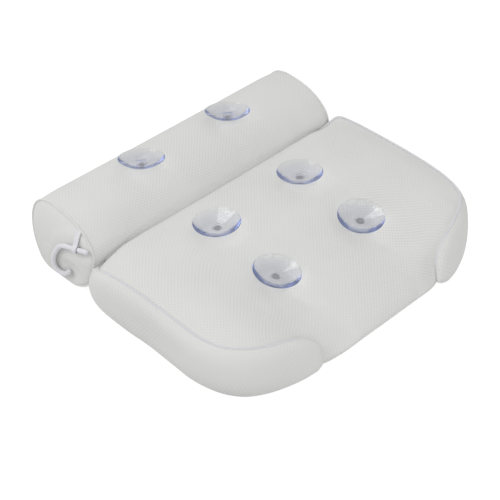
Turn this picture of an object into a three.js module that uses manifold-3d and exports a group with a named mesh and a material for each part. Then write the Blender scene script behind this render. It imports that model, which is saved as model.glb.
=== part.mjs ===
// Two-section bath pillow lying on its front face, back and suction cups up.
// Millimetres, +Z up, +Y from the main section towards the roll, X along the crease.
import * as THREE from "three";
import { mergeVertices } from "three/addons/utils/BufferGeometryUtils.js";
import Module from "manifold-3d";

const wasm = await Module();
wasm.setup();

// ---------------------------------------------------------------- dimensions
const HINGE_Z = 33; // height of the fold line above the floor
const HINGE_GAP = 5; // each section stands this far from the fold line
const WEB_HALF_LENGTH = 148;
const WEB_THICK = 2.4;
const WEB_PLAY = 0.5; // from the web's edge to each section

const COVER = 2.0; // thickness of the mesh covers
const FILL_INSET = 3.8; // from the outside of a cover to the filling
const SEAM_GAP = 0.35; // half gap of a plain seam
const CORD_GAP = 2.3; // half gap of a seam that holds a piping cord
const CORD_R = 1.6; // piping cord

const ROLL_SEAM_X = 174.5; // piping of the roll's ends
const ROLL_TAPER = 0.944; // section of the roll at its end seams
const ROLL_TAPER_FROM = 154; // where the roll starts to narrow
const ROLL_DOME = 9.5; // how far an end panel bulges past its seam

const CUP_R = 25;
const CUP_SPHERE = 46; // radius of the bowl's outer surface
const CUP_WALL = 1.7;
const CUP_LIP = 1.6; // width of the flat sealing lip
const CUP_COLLAR_R = 7.5;
const CUP_NECK_R = 4.0;
const CUP_HEAD_R = 7.0;
const CUP_FLOAT = 2.5; // play of the neck in the cover
const HOLE_R = 4.7; // hole in a cover for a neck
const RING_R = 10.5; // reinforcing ring behind the cover
const RING_THICK = 1.2;
const RING_DROP = 1.7; // from the back of a cover to the ring, on the main section
const RING_DROP_ROLL = 2.8; // the same on the rounder roll
const POCKET_R = 12.2; // hollow in the filling behind a cup
const POCKET_DEPTH = 15;

const HOOK_R = 2.7; // hook rod
const HOOK_AT = new THREE.Vector2(-187.45, 35.75); // x, y of a point of the hook's upright plane
const HOOK_TURN = THREE.MathUtils.degToRad(13); // the plane lies against the slope of the end panel
const TAPE_THICK = 1.0;
const TAPE_WIDTH = 6;
const TAPE_LOOP_R = 3.3; // inside of the tape's loop round the hook's bar
const BAR_TAPE = new THREE.Vector2(-18.8, 52.7); // where the tape holds the hook's bar: along the plane, height
const BAR_TILT = THREE.MathUtils.degToRad(-7.4);

// Cups: x, y on the section, tilt of the axis towards +Y and +X in degrees.
const CUPS = [
  ["suction_cup_roll_left", -63, 51, 4, 0],
  ["suction_cup_roll_right", 63, 51, 4, 0],
  ["suction_cup_upper_left", -61, -61, 3, -2],
  ["suction_cup_upper_right", 61, -61, 3, 2],
  ["suction_cup_lower_left", -63, -146, -9, 4],
  ["suction_cup_lower_right", 63, -146, -9, -4],
];

// Upper and lower seam lines of the main section, right half, from the middle of
// the crease (0) round the side to the middle of the lower edge (21). Between 3 and
// 18 they part and the gusset lies between them.
const UPPER = [
  [0, -5, 33], [55, -5, 33], [110, -5, 33], [152, -5, 33], [165, -6, 39],
  [174.5, -11.5, 45.5], [179.5, -28, 48.5], [180.5, -68, 48.5], [179.5, -105, 47.5],
  [180, -138, 47], [178.5, -163, 46.5], [171, -184, 46], [158, -199, 45],
  [142, -208.5, 43.5], [125, -214.5, 40.5], [109, -219, 36], [97.5, -223, 30],
  [89.5, -227.5, 23.5], [85, -234, 16], [68, -241.5, 12.5], [38, -245, 12],
  [0, -246, 12],
];
const LOWER = [
  [0, -5, 33], [55, -5, 33], [110, -5, 33], [152, -5, 33], [164, -5.5, 26],
  [177, -7, 14], [187, -19, 5.5], [190, -60, 3.2], [189, -103, 3.2],
  [190.5, -138, 3.2], [190, -166, 3.2], [183, -191, 3.2], [170.5, -209.5, 3.2],
  [154, -221, 3.2], [136, -228, 3.2], [118, -233, 3.2], [104, -236, 3.4],
  [92.5, -237, 7.5], [85, -234, 16], [68, -241.5, 12.5], [38, -245, 12],
  [0, -246, 12],
];
const BULGE = [
  0, 0, 0, 0, 1, 2.5, 5, 7, 7, 7, 7.5, 8, 8.5, 8.5, 8.5, 8, 7, 4, 0, 0, 0, 0,
]; // outward swell of the gusset, half way down
const ROUND_TOP = [
  24, 24, 24, 24, 26, 28, 28, 28, 28, 28, 28, 28, 28, 28, 28, 28, 28, 28, 28, 30,
  30, 30,
]; // how far in from the seam the back starts to roll over
const ROUND_LOW = [
  24, 24, 24, 24, 22, 18, 12, 10, 10, 10, 10, 10, 10, 10, 10, 10, 10, 12, 14, 16,
  18, 18,
]; // the same on the front
const GUSSET_FROM = 3.55;
const GUSSET_TO = 17.35;
const CENTRE = new THREE.Vector2(0, -118);

// Height of the back along Y, in the middle and near the sides.
const HEIGHT_Y = [-245, -225, -210, -190, -170, -145, -120, -100, -80, -60, -45, -25, 0];
const HEIGHT_MID = [22, 25, 28, 31.5, 35, 40, 46.2, 50.8, 53.5, 54.6, 54.4, 52.5, 48.5];
const HEIGHT_SIDE = [45, 47.5, 49.5, 52, 54, 56, 57, 57.3, 57.3, 57, 56.5, 55, 52];
const ARCH = 7; // rise of the front face in the middle, towards the lower edge

// Section of the roll, y and z, from the fold line over the top.
const ROLL_SECTION = [
  [5, 33], [5.6, 42], [8, 51], [13, 59.5], [21, 67.4], [32, 73.6], [45, 77],
  [58, 77.3], [71.5, 75.8], [84, 71.6], [93, 63.8], [98, 53], [98.5, 40], [95, 26.5],
  [88, 14.5], [78, 5.6], [68, 1.2], [60, 0], [46, 0], [32, 0], [22.5, 2], [14, 8],
  [8.5, 17], [5.6, 25],
];
const ROLL_CENTRE = new THREE.Vector2(51.5, 38.8);

// ---------------------------------------------------------------- small tools
const V = (x, y, z) => new THREE.Vector3(x, y, z);
const smooth = (a, b, x) => THREE.MathUtils.smoothstep(x, a, b);

// A closed triangle mesh from points and faces, merged, facing out.
function closed(points, faces) {
  const flat = new Float32Array(points.length * 3);
  points.forEach((p, i) => flat.set([p.x, p.y, p.z], 3 * i));
  const g = new THREE.BufferGeometry();
  g.setAttribute("position", new THREE.BufferAttribute(flat, 3));
  g.setIndex(faces.flat());
  return tidy(g);
}

// Merges equal vertices, drops collapsed faces and turns the mesh outwards.
function tidy(geometry) {
  const g = geometry.clone();
  for (const name of Object.keys(g.attributes)) if (name !== "position") g.deleteAttribute(name);
  const m = mergeVertices(g, 1e-3);
  const p = m.attributes.position;
  let kept = [];
  const src = m.index.array;
  for (let i = 0; i < src.length; i += 3) {
    const [a, b, c] = [src[i], src[i + 1], src[i + 2]];
    if (a !== b && b !== c && a !== c) kept.push(a, b, c);
  }
  let volume = 0;
  const va = V(), vb = V(), vc = V();
  for (let i = 0; i < kept.length; i += 3) {
    va.fromBufferAttribute(p, kept[i]);
    vb.fromBufferAttribute(p, kept[i + 1]);
    vc.fromBufferAttribute(p, kept[i + 2]);
    volume += va.dot(vb.cross(vc)) / 6;
  }
  if (volume < 0)
    for (let i = 0; i < kept.length; i += 3) [kept[i + 1], kept[i + 2]] = [kept[i + 2], kept[i + 1]];
  const out = new THREE.BufferGeometry();
  out.setAttribute("position", p);
  out.setIndex(kept);
  return out;
}

const toSolid = (g) =>
  new wasm.Manifold(
    new wasm.Mesh({
      numProp: 3,
      vertProperties: new Float32Array(g.attributes.position.array),
      triVerts: new Uint32Array(g.index.array),
    }),
  );
function fromSolid(s) {
  const m = s.getMesh();
  const g = new THREE.BufferGeometry();
  g.setAttribute("position", new THREE.BufferAttribute(new Float32Array(m.vertProperties), 3));
  g.setIndex(new THREE.BufferAttribute(new Uint32Array(m.triVerts), 1));
  return tidy(g);
}
const cut = (g, tools) => fromSolid(tools.reduce((s, t) => s.subtract(toSolid(t)), toSolid(g)));
const join = (a, b) => fromSolid(toSolid(a).add(toSolid(b)));

// Rings of points (a ring of one point is a pole) joined into faces.
function ringFaces(points, rings, faces) {
  const at = rings.map((ring) => ring.map((p) => points.push(p) - 1));
  for (let r = 0; r + 1 < at.length; r++) {
    const a = at[r], b = at[r + 1], n = Math.max(a.length, b.length);
    for (let i = 0; i < n; i++) {
      const j = (i + 1) % n;
      if (a.length === 1) faces.push([a[0], b[i], b[j]]);
      else if (b.length === 1) faces.push([a[i], b[0], a[j]]);
      else faces.push([a[i], b[i], b[j]], [a[i], b[j], a[j]]);
    }
  }
  return at;
}
function loft(rings) {
  const points = [], faces = [];
  ringFaces(points, rings, faces);
  return closed(points, faces);
}

// Cylinder with its axis along dir, its base at the given point.
function rod(base, dir, r, length, sides) {
  const g = new THREE.CylinderGeometry(r, r, length, sides);
  g.translate(0, length / 2, 0);
  g.applyQuaternion(new THREE.Quaternion().setFromUnitVectors(V(0, 1, 0), dir));
  g.translate(base.x, base.y, base.z);
  return tidy(g);
}

// Smooth value through (xs, ys).
function through(xs, ys, x) {
  let i = 0;
  while (i < xs.length - 2 && x > xs[i + 1]) i++;
  const t = THREE.MathUtils.clamp((x - xs[i]) / (xs[i + 1] - xs[i]), 0, 1);
  const y0 = ys[Math.max(0, i - 1)], y1 = ys[i], y2 = ys[i + 1], y3 = ys[Math.min(ys.length - 1, i + 2)];
  return 0.5 * (2 * y1 + (y2 - y0) * t + (2 * y0 - 5 * y1 + 4 * y2 - y3) * t * t + (3 * y1 - y0 - 3 * y2 + y3) * t * t * t);
}

// ---------------------------------------------------------------- main section
const HALF = UPPER.length - 1;
const KEYS = 2 * HALF;
const around = (keys) => [
  ...keys.map(([x, y, z]) => V(x, y, z)),
  ...keys.slice(1, -1).reverse().map(([x, y, z]) => V(-x, y, z)),
];
const upperLine = new THREE.CatmullRomCurve3(around(UPPER), true, "centripetal");
const lowerLine = new THREE.CatmullRomCurve3(around(LOWER), true, "centripetal");
const wrap = (s) => ((s % KEYS) + KEYS) % KEYS;
const halfway = (s) => {
  const w = wrap(s);
  return w > HALF ? KEYS - w : w;
};
// The two lines are one plain seam along the crease and along the lower edge.
function seam(s, line) {
  const p = line.getPoint(wrap(s) / KEYS), h = halfway(s);
  if (h > 3 && h < 18) return p;
  p.add(upperLine.getPoint(wrap(s) / KEYS)).add(lowerLine.getPoint(wrap(s) / KEYS)).sub(line.getPoint(wrap(s) / KEYS));
  p.multiplyScalar(0.5);
  return h <= 3 ? p.setZ(HINGE_Z) : p;
}
const upper = (s) => seam(s, upperLine);
const lower = (s) => seam(s, lowerLine);
const keyed = (list, s) => {
  const h = halfway(s);
  const i = Math.min(HALF - 1, Math.floor(h));
  return THREE.MathUtils.lerp(list[i], list[i + 1], h - i);
};
function outward(s) {
  const a = upper(s - 0.02).add(lower(s - 0.02)), b = upper(s + 0.02).add(lower(s + 0.02));
  const t = b.sub(a).setZ(0).normalize();
  const n = V(t.y, -t.x, 0), p = upper(s);
  return n.dot(V(p.x - CENTRE.x, p.y - CENTRE.y, 0)) < 0 ? n.negate() : n;
}
function backHeight(x, y) {
  const mid = through(HEIGHT_Y, HEIGHT_MID, y), side = through(HEIGHT_Y, HEIGHT_SIDE, y);
  return mid + (side - mid) * smooth(50, 150, Math.abs(x));
}
const frontHeight = (x, y) => ARCH * (1 - smooth(20, 110, Math.abs(x))) * smooth(20, 110, -y);

// A point of the back or front: q runs 0 at the middle, 1 where it starts to roll
// over, 2 on the seam.
function face(s, q, line, height, roundIn) {
  const p = line(s), dx = p.x - CENTRE.x, dy = p.y - CENTRE.y, len = Math.hypot(dx, dy);
  const inset = keyed(roundIn, s), turn = Math.max(0, q - 1) * Math.PI * 0.5;
  const along = q <= 1 ? q * (len - inset) : len - inset * (1 - Math.sin(turn));
  const x = CENTRE.x + (dx * along) / len, y = CENTRE.y + (dy * along) / len;
  return V(x, y, height(x, y) + (p.z - height(p.x, p.y)) * (1 - Math.cos(turn)));
}
const back = (s, q) => face(s, q, upper, backHeight, ROUND_TOP);
const front = (s, q) => face(s, q, lower, frontHeight, ROUND_LOW);
function side(s, t) {
  return upper(s).lerp(lower(s), t).addScaledVector(outward(s), keyed(BULGE, s) * 4 * t * (1 - t));
}
// Moves a point of a surface inwards along the surface's own normal.
function inset(surface, s, q, depth, outside) {
  const p = surface(s, q), e = 0.01;
  const ds = surface(s + 0.03, q).sub(surface(s - 0.03, q));
  const dq = surface(s, q + e).sub(surface(s, q - e));
  const n = ds.cross(dq).normalize();
  if (n.dot(outside) < 0) n.negate();
  return p.addScaledVector(n, -depth);
}
const UP = V(0, 0, 1), DOWN = V(0, 0, -1);
const backIn = (s, q, d) => inset(back, s, q, d, UP.clone().multiplyScalar(0.3).add(outward(s)));
const frontIn = (s, q, d) => inset(front, s, q, d, DOWN.clone().multiplyScalar(0.3).add(outward(s)));
const sideIn = (s, t, d) => inset(side, s, t, d, outward(s));

const hasGusset = (s) => halfway(s) > 2.9 && halfway(s) < 18.6;
// Half gap at a corded seam, wider where the cord turns round a gusset's nose.
const cordGap = (s) => CORD_GAP * (1 + 0.7 * smooth(16, 17.2, halfway(s)));
// Where a cover stops short of its seam, as q.
function edgeQ(s, line, height) {
  const p = line(s), rise = Math.abs(height(p.x, p.y) - p.z);
  const gap = hasGusset(s) ? cordGap(s) : SEAM_GAP;
  return 1 + (2 / Math.PI) * Math.acos(Math.min(0.92, gap / Math.max(rise, 0.4)));
}
const backEdge = (s) => edgeQ(s, upper, backHeight);
// The front turns over within a low rim, so its edge is set back along the face instead.
function frontEdge(s) {
  const p = lower(s), rise = Math.abs(frontHeight(p.x, p.y) - p.z);
  if (rise > 3 * CORD_GAP || !hasGusset(s)) return edgeQ(s, lower, frontHeight);
  const share = 1 - cordGap(s) / keyed(ROUND_LOW, s);
  return 1 + (2 / Math.PI) * Math.asin(share);
}

const HALF_STEPS = [
  0, 1.5, 2.8, 3.3, 3.8, 4.4, 5.2, 6, 7.5, 9, 10, 10.8, 11.6, 12.4, 13.2, 14, 15, 16, 17, 17.6, 18.2, 19.4, 21,
];
const STEPS = [...HALF_STEPS, ...HALF_STEPS.slice(1, -1).reverse().map((s) => KEYS - s)];

function coverShell(surface, inner, edge) {
  const qs = [0.34, 0.68, 1, 1.4, 1.72];
  const ring = (f) => STEPS.map(f);
  const out = [[surface(0, 0)], ...qs.map((q) => ring((s) => surface(s, Math.min(q, edge(s) - 0.04)))), ring((s) => surface(s, edge(s)))];
  const pole = surface(0, 0), up = surface === back ? -COVER : COVER;
  const ins = [
    [pole.clone().setZ(pole.z + up)],
    ...qs.map((q) => ring((s) => inner(s, Math.min(q, edge(s) - 0.04), COVER))),
    ring((s) => inner(s, edge(s), COVER)),
  ];
  return loft([...out, ...ins.reverse()]);
}

function gusset(mirror) {
  const cols = [GUSSET_FROM, 4, 4.6, 5.3, 6, 7, 8, 9, 10, 10.7, 11.4, 12.1, 12.8, 13.5, 14.2, 15, 15.8, 16.5, 17, GUSSET_TO];
  const rows = [0, 0.3, 0.6, 0.84, 1];
  const at = (s, r, d) => {
    const w = mirror ? KEYS - s : s;
    const len = upper(w).distanceTo(lower(w)), t0 = cordGap(w) / len;
    return sideIn(w, t0 + (1 - 2 * t0) * r, d);
  };
  // Each column of the strip is one ring: down the outside, back up the inside.
  const ring = (s) => [...rows.map((r) => at(s, r, 0)), ...rows.map((r) => at(s, r, COVER)).reverse()];
  const points = [], faces = [];
  const idx = ringFaces(points, cols.map(ring), faces);
  const n = rows.length;
  for (const [end, first] of [[idx[0], true], [idx[idx.length - 1], false]])
    for (let i = 0; i + 1 < n; i++) {
      const a = end[i], b = end[i + 1], c = end[2 * n - 2 - i], d = end[2 * n - 1 - i];
      if (first) faces.push([a, b, c], [a, c, d]);
      else faces.push([a, c, b], [a, d, c]);
    }
  return closed(points, faces);
}

// Cord of a closed seam line.
function cord(line, steps, sides) {
  return tidy(new THREE.TubeGeometry(line, steps, CORD_R, sides, true));
}
function gussetCord(mirror) {
  const top = [3, 3.5, 4, 5, 6, 7, 8, 9, 10, 11, 12, 13, 14, 15, 16, 17, 17.6];
  const low = [18, 17.4, 17, 16, 15, 14, 13, 12, 11, 10, 9, 8, 7, 6, 5, 4, 3.5];
  const w = (s) => (mirror ? KEYS - s : s);
  const pts = [...top.map((s) => upper(w(s))), ...low.map((s) => lower(w(s)))];
  return cord(new THREE.CatmullRomCurve3(pts, true, "centripetal"), 48, 5);
}

function mainFill(pockets) {
  const ring = (f) => STEPS.map(f);
  const middle = (s) => {
    const p = hasGusset(s) ? side(s, 0.5) : upper(s);
    const out = p.addScaledVector(outward(s), hasGusset(s) ? -FILL_INSET - 1 : -FILL_INSET - 2.5);
    return halfway(s) > 18 ? out.setZ(out.z + 2.5) : out;
  };
  const top = [0.34, 0.68, 1, 1.4].map((q) => ring((s) => backIn(s, q, FILL_INSET)));
  const low = [1.4, 1, 0.68, 0.34].map((q) => ring((s) => frontIn(s, q, FILL_INSET)));
  const a = back(0, 0), b = front(0, 0);
  const core = loft([
    [a.setZ(a.z - FILL_INSET)],
    ...top,
    ring(middle),
    ...low,
    [b.setZ(b.z + FILL_INSET)],
  ]);
  return cut(core, pockets);
}

// ---------------------------------------------------------------- roll
const rollScale = (x) => 1 - (1 - ROLL_TAPER) * smooth(ROLL_TAPER_FROM, ROLL_SEAM_X, Math.abs(x));
function rollRing(x, depth, scale = rollScale(x)) {
  const n = ROLL_SECTION.length;
  const pts = ROLL_SECTION.map(([y, z]) => new THREE.Vector2(y, z).sub(ROLL_CENTRE).multiplyScalar(scale).add(ROLL_CENTRE));
  return pts.map((p, i) => {
    const t = pts[(i + 1) % n].clone().sub(pts[(i + n - 1) % n]).normalize();
    const out = new THREE.Vector2(-t.y, t.x);
    if (out.dot(p.clone().sub(ROLL_CENTRE)) < 0) out.negate();
    return V(x, p.x - out.x * depth, p.y - out.y * depth);
  });
}
function rollTube() {
  const e = ROLL_SEAM_X - 2.9;
  const xs = [-e, -162, -100, 100, 162, e];
  const rings = [...xs.map((x) => rollRing(x, 0)), ...[...xs].reverse().map((x) => rollRing(x, COVER))];
  return loft([...rings, rings[0].map((p) => p.clone())]);
}
function domeRing(dir, share, depth) {
  const x = ROLL_SEAM_X + 1.2 + (ROLL_DOME - 1.2) * (1 - share ** 3);
  return rollRing(ROLL_SEAM_X, 3.2, ROLL_TAPER).map((p) =>
    V(dir * (x - depth), ROLL_CENTRE.x + (p.y - ROLL_CENTRE.x) * share, ROLL_CENTRE.y + (p.z - ROLL_CENTRE.y) * share),
  );
}
function endPanel(dir) {
  const shares = [1, 0.82, 0.5];
  const tip = (d) => [V(dir * (ROLL_SEAM_X + ROLL_DOME - d), ROLL_CENTRE.x, ROLL_CENTRE.y)];
  return loft([tip(0), ...[...shares].reverse().map((k) => domeRing(dir, k, 0)), ...shares.map((k) => domeRing(dir, k, COVER)), tip(COVER)]);
}
function endCord(dir) {
  const pts = rollRing(dir * ROLL_SEAM_X, 0.2, ROLL_TAPER);
  return cord(new THREE.CatmullRomCurve3(pts, true, "centripetal"), 30, 5);
}
function rollFill(pockets) {
  const xs = [-168, -152, 152, 168];
  const caps = (dir) => [0.82, 0.45].map((k) => domeRing(dir, k, COVER + 1.2));
  const tip = (dir) => [V(dir * (ROLL_SEAM_X + ROLL_DOME - COVER - 1.2), ROLL_CENTRE.x, ROLL_CENTRE.y)];
  const core = loft([tip(-1), ...caps(-1).reverse(), ...xs.map((x) => rollRing(x, FILL_INSET + 0.6)), ...caps(1), tip(1)]);
  return cut(core, pockets);
}

// ---------------------------------------------------------------- suction cups
const cupRise = (r) => CUP_SPHERE - Math.sqrt(CUP_SPHERE * CUP_SPHERE - r * r);
const COLLAR_LOW = 0.9; // collar above the cover
const BOWL_Z = 1.2; // lowest point of the bowl's outer sphere
const RIM_Z = BOWL_Z + cupRise(CUP_R) + 0.5;
// Underside of the ring, and top of the button head, below the cover's outside.
const ringLow = (cup) => -COVER - (cup.onRoll ? RING_DROP_ROLL : RING_DROP) - RING_THICK;
function cupGeometry(cup) {
  const HEAD_TOP = ringLow(cup) - CUP_FLOAT - 0.4;
  const p = [
    [0, HEAD_TOP - 3.2], [CUP_HEAD_R - 1.5, HEAD_TOP - 3.2], [CUP_HEAD_R, HEAD_TOP - 1.6], [CUP_HEAD_R - 0.4, HEAD_TOP],
    [CUP_NECK_R, HEAD_TOP], [CUP_NECK_R, COLLAR_LOW], [CUP_COLLAR_R, COLLAR_LOW], [CUP_COLLAR_R + 0.3, BOWL_Z + cupRise(CUP_COLLAR_R + 0.3)],
    [14, BOWL_Z + cupRise(14)], [20, BOWL_Z + cupRise(20)], [CUP_R, BOWL_Z + cupRise(CUP_R)],
    [CUP_R, RIM_Z], [CUP_R - CUP_LIP, RIM_Z], [18, BOWL_Z + cupRise(18) + CUP_WALL], [10, BOWL_Z + cupRise(10) + CUP_WALL],
    [0, BOWL_Z + CUP_WALL],
  ].map(([r, z]) => new THREE.Vector2(r, z));
  return new THREE.LatheGeometry(p, 16);
}
function ringGeometry(low) {
  const p = [[HOLE_R + 0.6, low], [RING_R, low], [RING_R, low + RING_THICK], [HOLE_R + 0.6, low + RING_THICK], [HOLE_R + 0.6, low]]
    .map(([r, z]) => new THREE.Vector2(r, z));
  return new THREE.LatheGeometry(p, 14);
}
// Height of a faceted cover above (x, y).
function seat(geometry, x, y) {
  const mesh = new THREE.Mesh(geometry, new THREE.MeshBasicMaterial({ side: THREE.DoubleSide }));
  return new THREE.Raycaster(V(x, y, 200), DOWN.clone()).intersectObject(mesh)[0].point.z;
}
const backShell = coverShell(back, backIn, backEdge);
const rollShell = rollTube();
const cups = CUPS.map(([name, x, y, tiltY, tiltX]) => {
  const z = seat(y > 0 ? rollShell : backShell, x, y);
  const ty = THREE.MathUtils.degToRad(tiltY), tx = THREE.MathUtils.degToRad(tiltX);
  const axis = V(Math.sin(tx), Math.sin(ty), 1).setZ(Math.sqrt(1 - Math.sin(tx) ** 2 - Math.sin(ty) ** 2));
  return { name, at: V(x, y, z), axis, onRoll: y > 0 };
});
function placed(geometry, cup) {
  geometry.applyQuaternion(new THREE.Quaternion().setFromUnitVectors(V(0, 1, 0), cup.axis));
  geometry.translate(cup.at.x, cup.at.y, cup.at.z);
  return tidy(geometry);
}
const along = (cup, d) => cup.at.clone().addScaledVector(cup.axis, d);
const holeOf = (cup) => rod(along(cup, -8), cup.axis, HOLE_R, 16, 14);
const pocketOf = (cup) => rod(along(cup, -POCKET_DEPTH), cup.axis, POCKET_R, POCKET_DEPTH + 8, 14);

// ---------------------------------------------------------------- hook and tape
// The tape hangs from the roll's left end seam and closes in a loop round the hook's bar.
// The hook lies in an upright plane turned against the end panel's slope.
const onHookPlane = (a, z) => V(HOOK_AT.x - a * Math.sin(HOOK_TURN), HOOK_AT.y + a * Math.cos(HOOK_TURN), z);
function tapeGeometry() {
  const outer = TAPE_LOOP_R + TAPE_THICK;
  const ring = new THREE.Shape().absarc(0, 0, outer, 0, 2 * Math.PI, false);
  ring.holes.push(new THREE.Path().absarc(0, 0, TAPE_LOOP_R, 0, 2 * Math.PI, true));
  // x outwards from the hook's plane, y up from the bar, along the strap.
  const mid = [[0.6, TAPE_LOOP_R + 0.6], [2.0, 7.2], [3.5, 10.2], [4.8, 12.8], [5.6, 15]];
  const left = [], right = [];
  mid.forEach(([x, y], i) => {
    const [ax, ay] = mid[Math.max(0, i - 1)], [bx, by] = mid[Math.min(mid.length - 1, i + 1)];
    const l = Math.hypot(bx - ax, by - ay), nx = -(by - ay) / l, ny = (bx - ax) / l;
    left.push(new THREE.Vector2(x + (nx * TAPE_THICK) / 2, y + (ny * TAPE_THICK) / 2));
    right.push(new THREE.Vector2(x - (nx * TAPE_THICK) / 2, y - (ny * TAPE_THICK) / 2));
  });
  const strap = new THREE.Shape([...left, ...right.reverse()]);
  const solid = (shape) => {
    const g = new THREE.ExtrudeGeometry(shape, { depth: TAPE_WIDTH, bevelEnabled: false, curveSegments: 8 });
    g.translate(0, 0, -TAPE_WIDTH / 2);
    g.rotateX(Math.PI / 2); // shape y to +Z, depth to -Y
    return tidy(g);
  };
  const g = join(solid(ring), solid(strap));
  g.rotateX(BAR_TILT);
  g.rotateZ(HOOK_TURN);
  const at = onHookPlane(BAR_TAPE.x, BAR_TAPE.y);
  g.translate(at.x, at.y, at.z);
  return tidy(g);
}
function hookGeometry() {
  const bar = (d) => [BAR_TAPE.x + d * Math.cos(BAR_TILT), BAR_TAPE.y + d * Math.sin(BAR_TILT)];
  const pts = [bar(-15), bar(-6), bar(6), bar(15), [0.6, 48.7], [3.9, 45.2], [8.6, 37.4], [11.6, 29.8], [12.1, 21], [8.9, 14.8], [2.8, 12.4], [-4.4, 14.9], [-8.6, 20.4]]
    .map(([a, z]) => onHookPlane(a, z));
  const path = new THREE.CatmullRomCurve3(pts, false, "centripetal");
  const section = new THREE.Shape();
  for (let i = 0; i < 8; i++) {
    const a = ((i + 0.5) / 8) * 2 * Math.PI;
    section[i ? "lineTo" : "moveTo"](HOOK_R * Math.cos(a), HOOK_R * Math.sin(a));
  }
  section.closePath();
  return tidy(new THREE.ExtrudeGeometry(section, { steps: 24, extrudePath: path, bevelEnabled: false }));
}

// ---------------------------------------------------------------- assembly
const MESH = { color: 0xd9d8d4, roughness: 0.9, metalness: 0 };
const CORDING = { color: 0xdcdbe0, roughness: 0.8, metalness: 0 };
const FILLING = { color: 0xe8e6df, roughness: 1, metalness: 0 };
const CLEAR = { color: 0xc9cbd6, roughness: 0.08, metalness: 0, transparent: true, opacity: 0.35 };
const PLASTIC = { color: 0xdad9de, roughness: 0.4, metalness: 0 };

const group = new THREE.Group();
group.name = "bath_pillow";
function add(name, geometry, look) {
  const mesh = new THREE.Mesh(geometry, new THREE.MeshStandardMaterial(look));
  mesh.geometry.computeVertexNormals();
  mesh.name = name;
  group.add(mesh);
}
const onMain = cups.filter((c) => !c.onRoll), onRoll = cups.filter((c) => c.onRoll);

add("main_filling", mainFill(onMain.map(pocketOf)), FILLING);
add("main_back_cover", cut(backShell, onMain.map(holeOf)), MESH);
add("main_front_cover", coverShell(front, frontIn, frontEdge), MESH);
add("main_left_gusset", gusset(true), MESH);
add("main_right_gusset", gusset(false), MESH);
add("main_left_piping", gussetCord(true), CORDING);
add("main_right_piping", gussetCord(false), CORDING);

add("roll_filling", rollFill(onRoll.map(pocketOf)), FILLING);
add("roll_cover", cut(rollShell, onRoll.map(holeOf)), MESH);
add("roll_left_end_panel", endPanel(-1), MESH);
add("roll_right_end_panel", endPanel(1), MESH);
add("roll_left_piping", endCord(-1), CORDING);
add("roll_right_piping", endCord(1), CORDING);

const web = new THREE.BoxGeometry(2 * WEB_HALF_LENGTH, 2 * (HINGE_GAP - WEB_PLAY), WEB_THICK);
web.translate(0, 0, HINGE_Z);
add("hinge_web", tidy(web), MESH);

for (const cup of cups) {
  add(cup.name, placed(cupGeometry(cup), cup), CLEAR);
  add(cup.name.replace("suction_cup", "cup_ring"), placed(ringGeometry(ringLow(cup)), cup), MESH);
}
add("hook_tape", tapeGeometry(), CORDING);
add("hanging_hook", hookGeometry(), PLASTIC);

const box = new THREE.Box3().setFromObject(group);
group.position.set(0, -(box.min.y + box.max.y) / 2, -box.min.z);

export default group;
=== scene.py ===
import math

import bmesh
import bpy
import numpy as np
from mathutils import Matrix, Vector


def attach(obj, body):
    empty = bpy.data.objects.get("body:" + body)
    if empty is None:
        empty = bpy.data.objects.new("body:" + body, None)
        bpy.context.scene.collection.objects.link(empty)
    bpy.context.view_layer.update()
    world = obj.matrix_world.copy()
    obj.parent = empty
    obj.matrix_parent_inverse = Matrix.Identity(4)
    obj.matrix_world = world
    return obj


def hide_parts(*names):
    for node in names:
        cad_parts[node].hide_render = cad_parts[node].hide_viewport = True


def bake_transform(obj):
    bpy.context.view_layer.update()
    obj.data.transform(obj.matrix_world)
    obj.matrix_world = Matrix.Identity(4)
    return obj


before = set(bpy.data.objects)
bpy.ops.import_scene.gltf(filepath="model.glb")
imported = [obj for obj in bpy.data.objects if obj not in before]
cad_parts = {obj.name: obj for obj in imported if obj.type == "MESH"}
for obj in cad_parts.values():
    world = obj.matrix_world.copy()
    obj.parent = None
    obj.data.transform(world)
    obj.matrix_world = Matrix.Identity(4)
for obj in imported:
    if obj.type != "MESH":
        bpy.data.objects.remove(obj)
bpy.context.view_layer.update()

# ------------------------------------------------------------------ numbers
# Millimetres, with y counted from the fold line, as in the CAD source.
Y0 = 73.7408
HINGE_Z = 33.0
# One list for each side, from the middle of the crease round to the middle of the lower edge; x counts outwards.
UPPER = {
    "right": [
        (0, -5, 43.5), (55, -5, 43.5), (110, -5, 43.5), (155, -5, 42), (169, -5, 46),
        (178, -8.5, 52), (182, -27, 52.5), (183, -68, 52.2), (182.5, -105, 51.8),
        (182, -138, 50), (179.5, -163, 48.5), (173, -184, 48), (162, -199, 47.5),
        (146, -208.5, 45.5), (129, -215, 42), (111, -220, 37), (98.5, -223.5, 30),
        (90, -228.5, 21), (79.5, -239, 6), (65, -243.5, 8.5), (38, -245.5, 11), (0, -246, 11.5),
    ],
    "left": [
        (0, -5, 43.5), (55, -5, 43.5), (110, -5, 43.5), (157, -5, 38.5), (171.5, -5.2, 35.2),
        (179, -11.5, 39.5), (181, -28, 46.5), (180.5, -68, 49.3), (180, -105, 47.5),
        (180.5, -138, 46.5), (179.5, -164, 45.5), (172, -186, 45), (159, -200.5, 44.5),
        (142.5, -210, 42.5), (125, -215, 40), (109, -219, 36.2), (97.5, -222.5, 30.5),
        (88.5, -228.5, 21.5), (91.5, -237.5, 5), (74, -243, 8), (38, -245.5, 11), (0, -246, 11.5),
    ],
}
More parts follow.
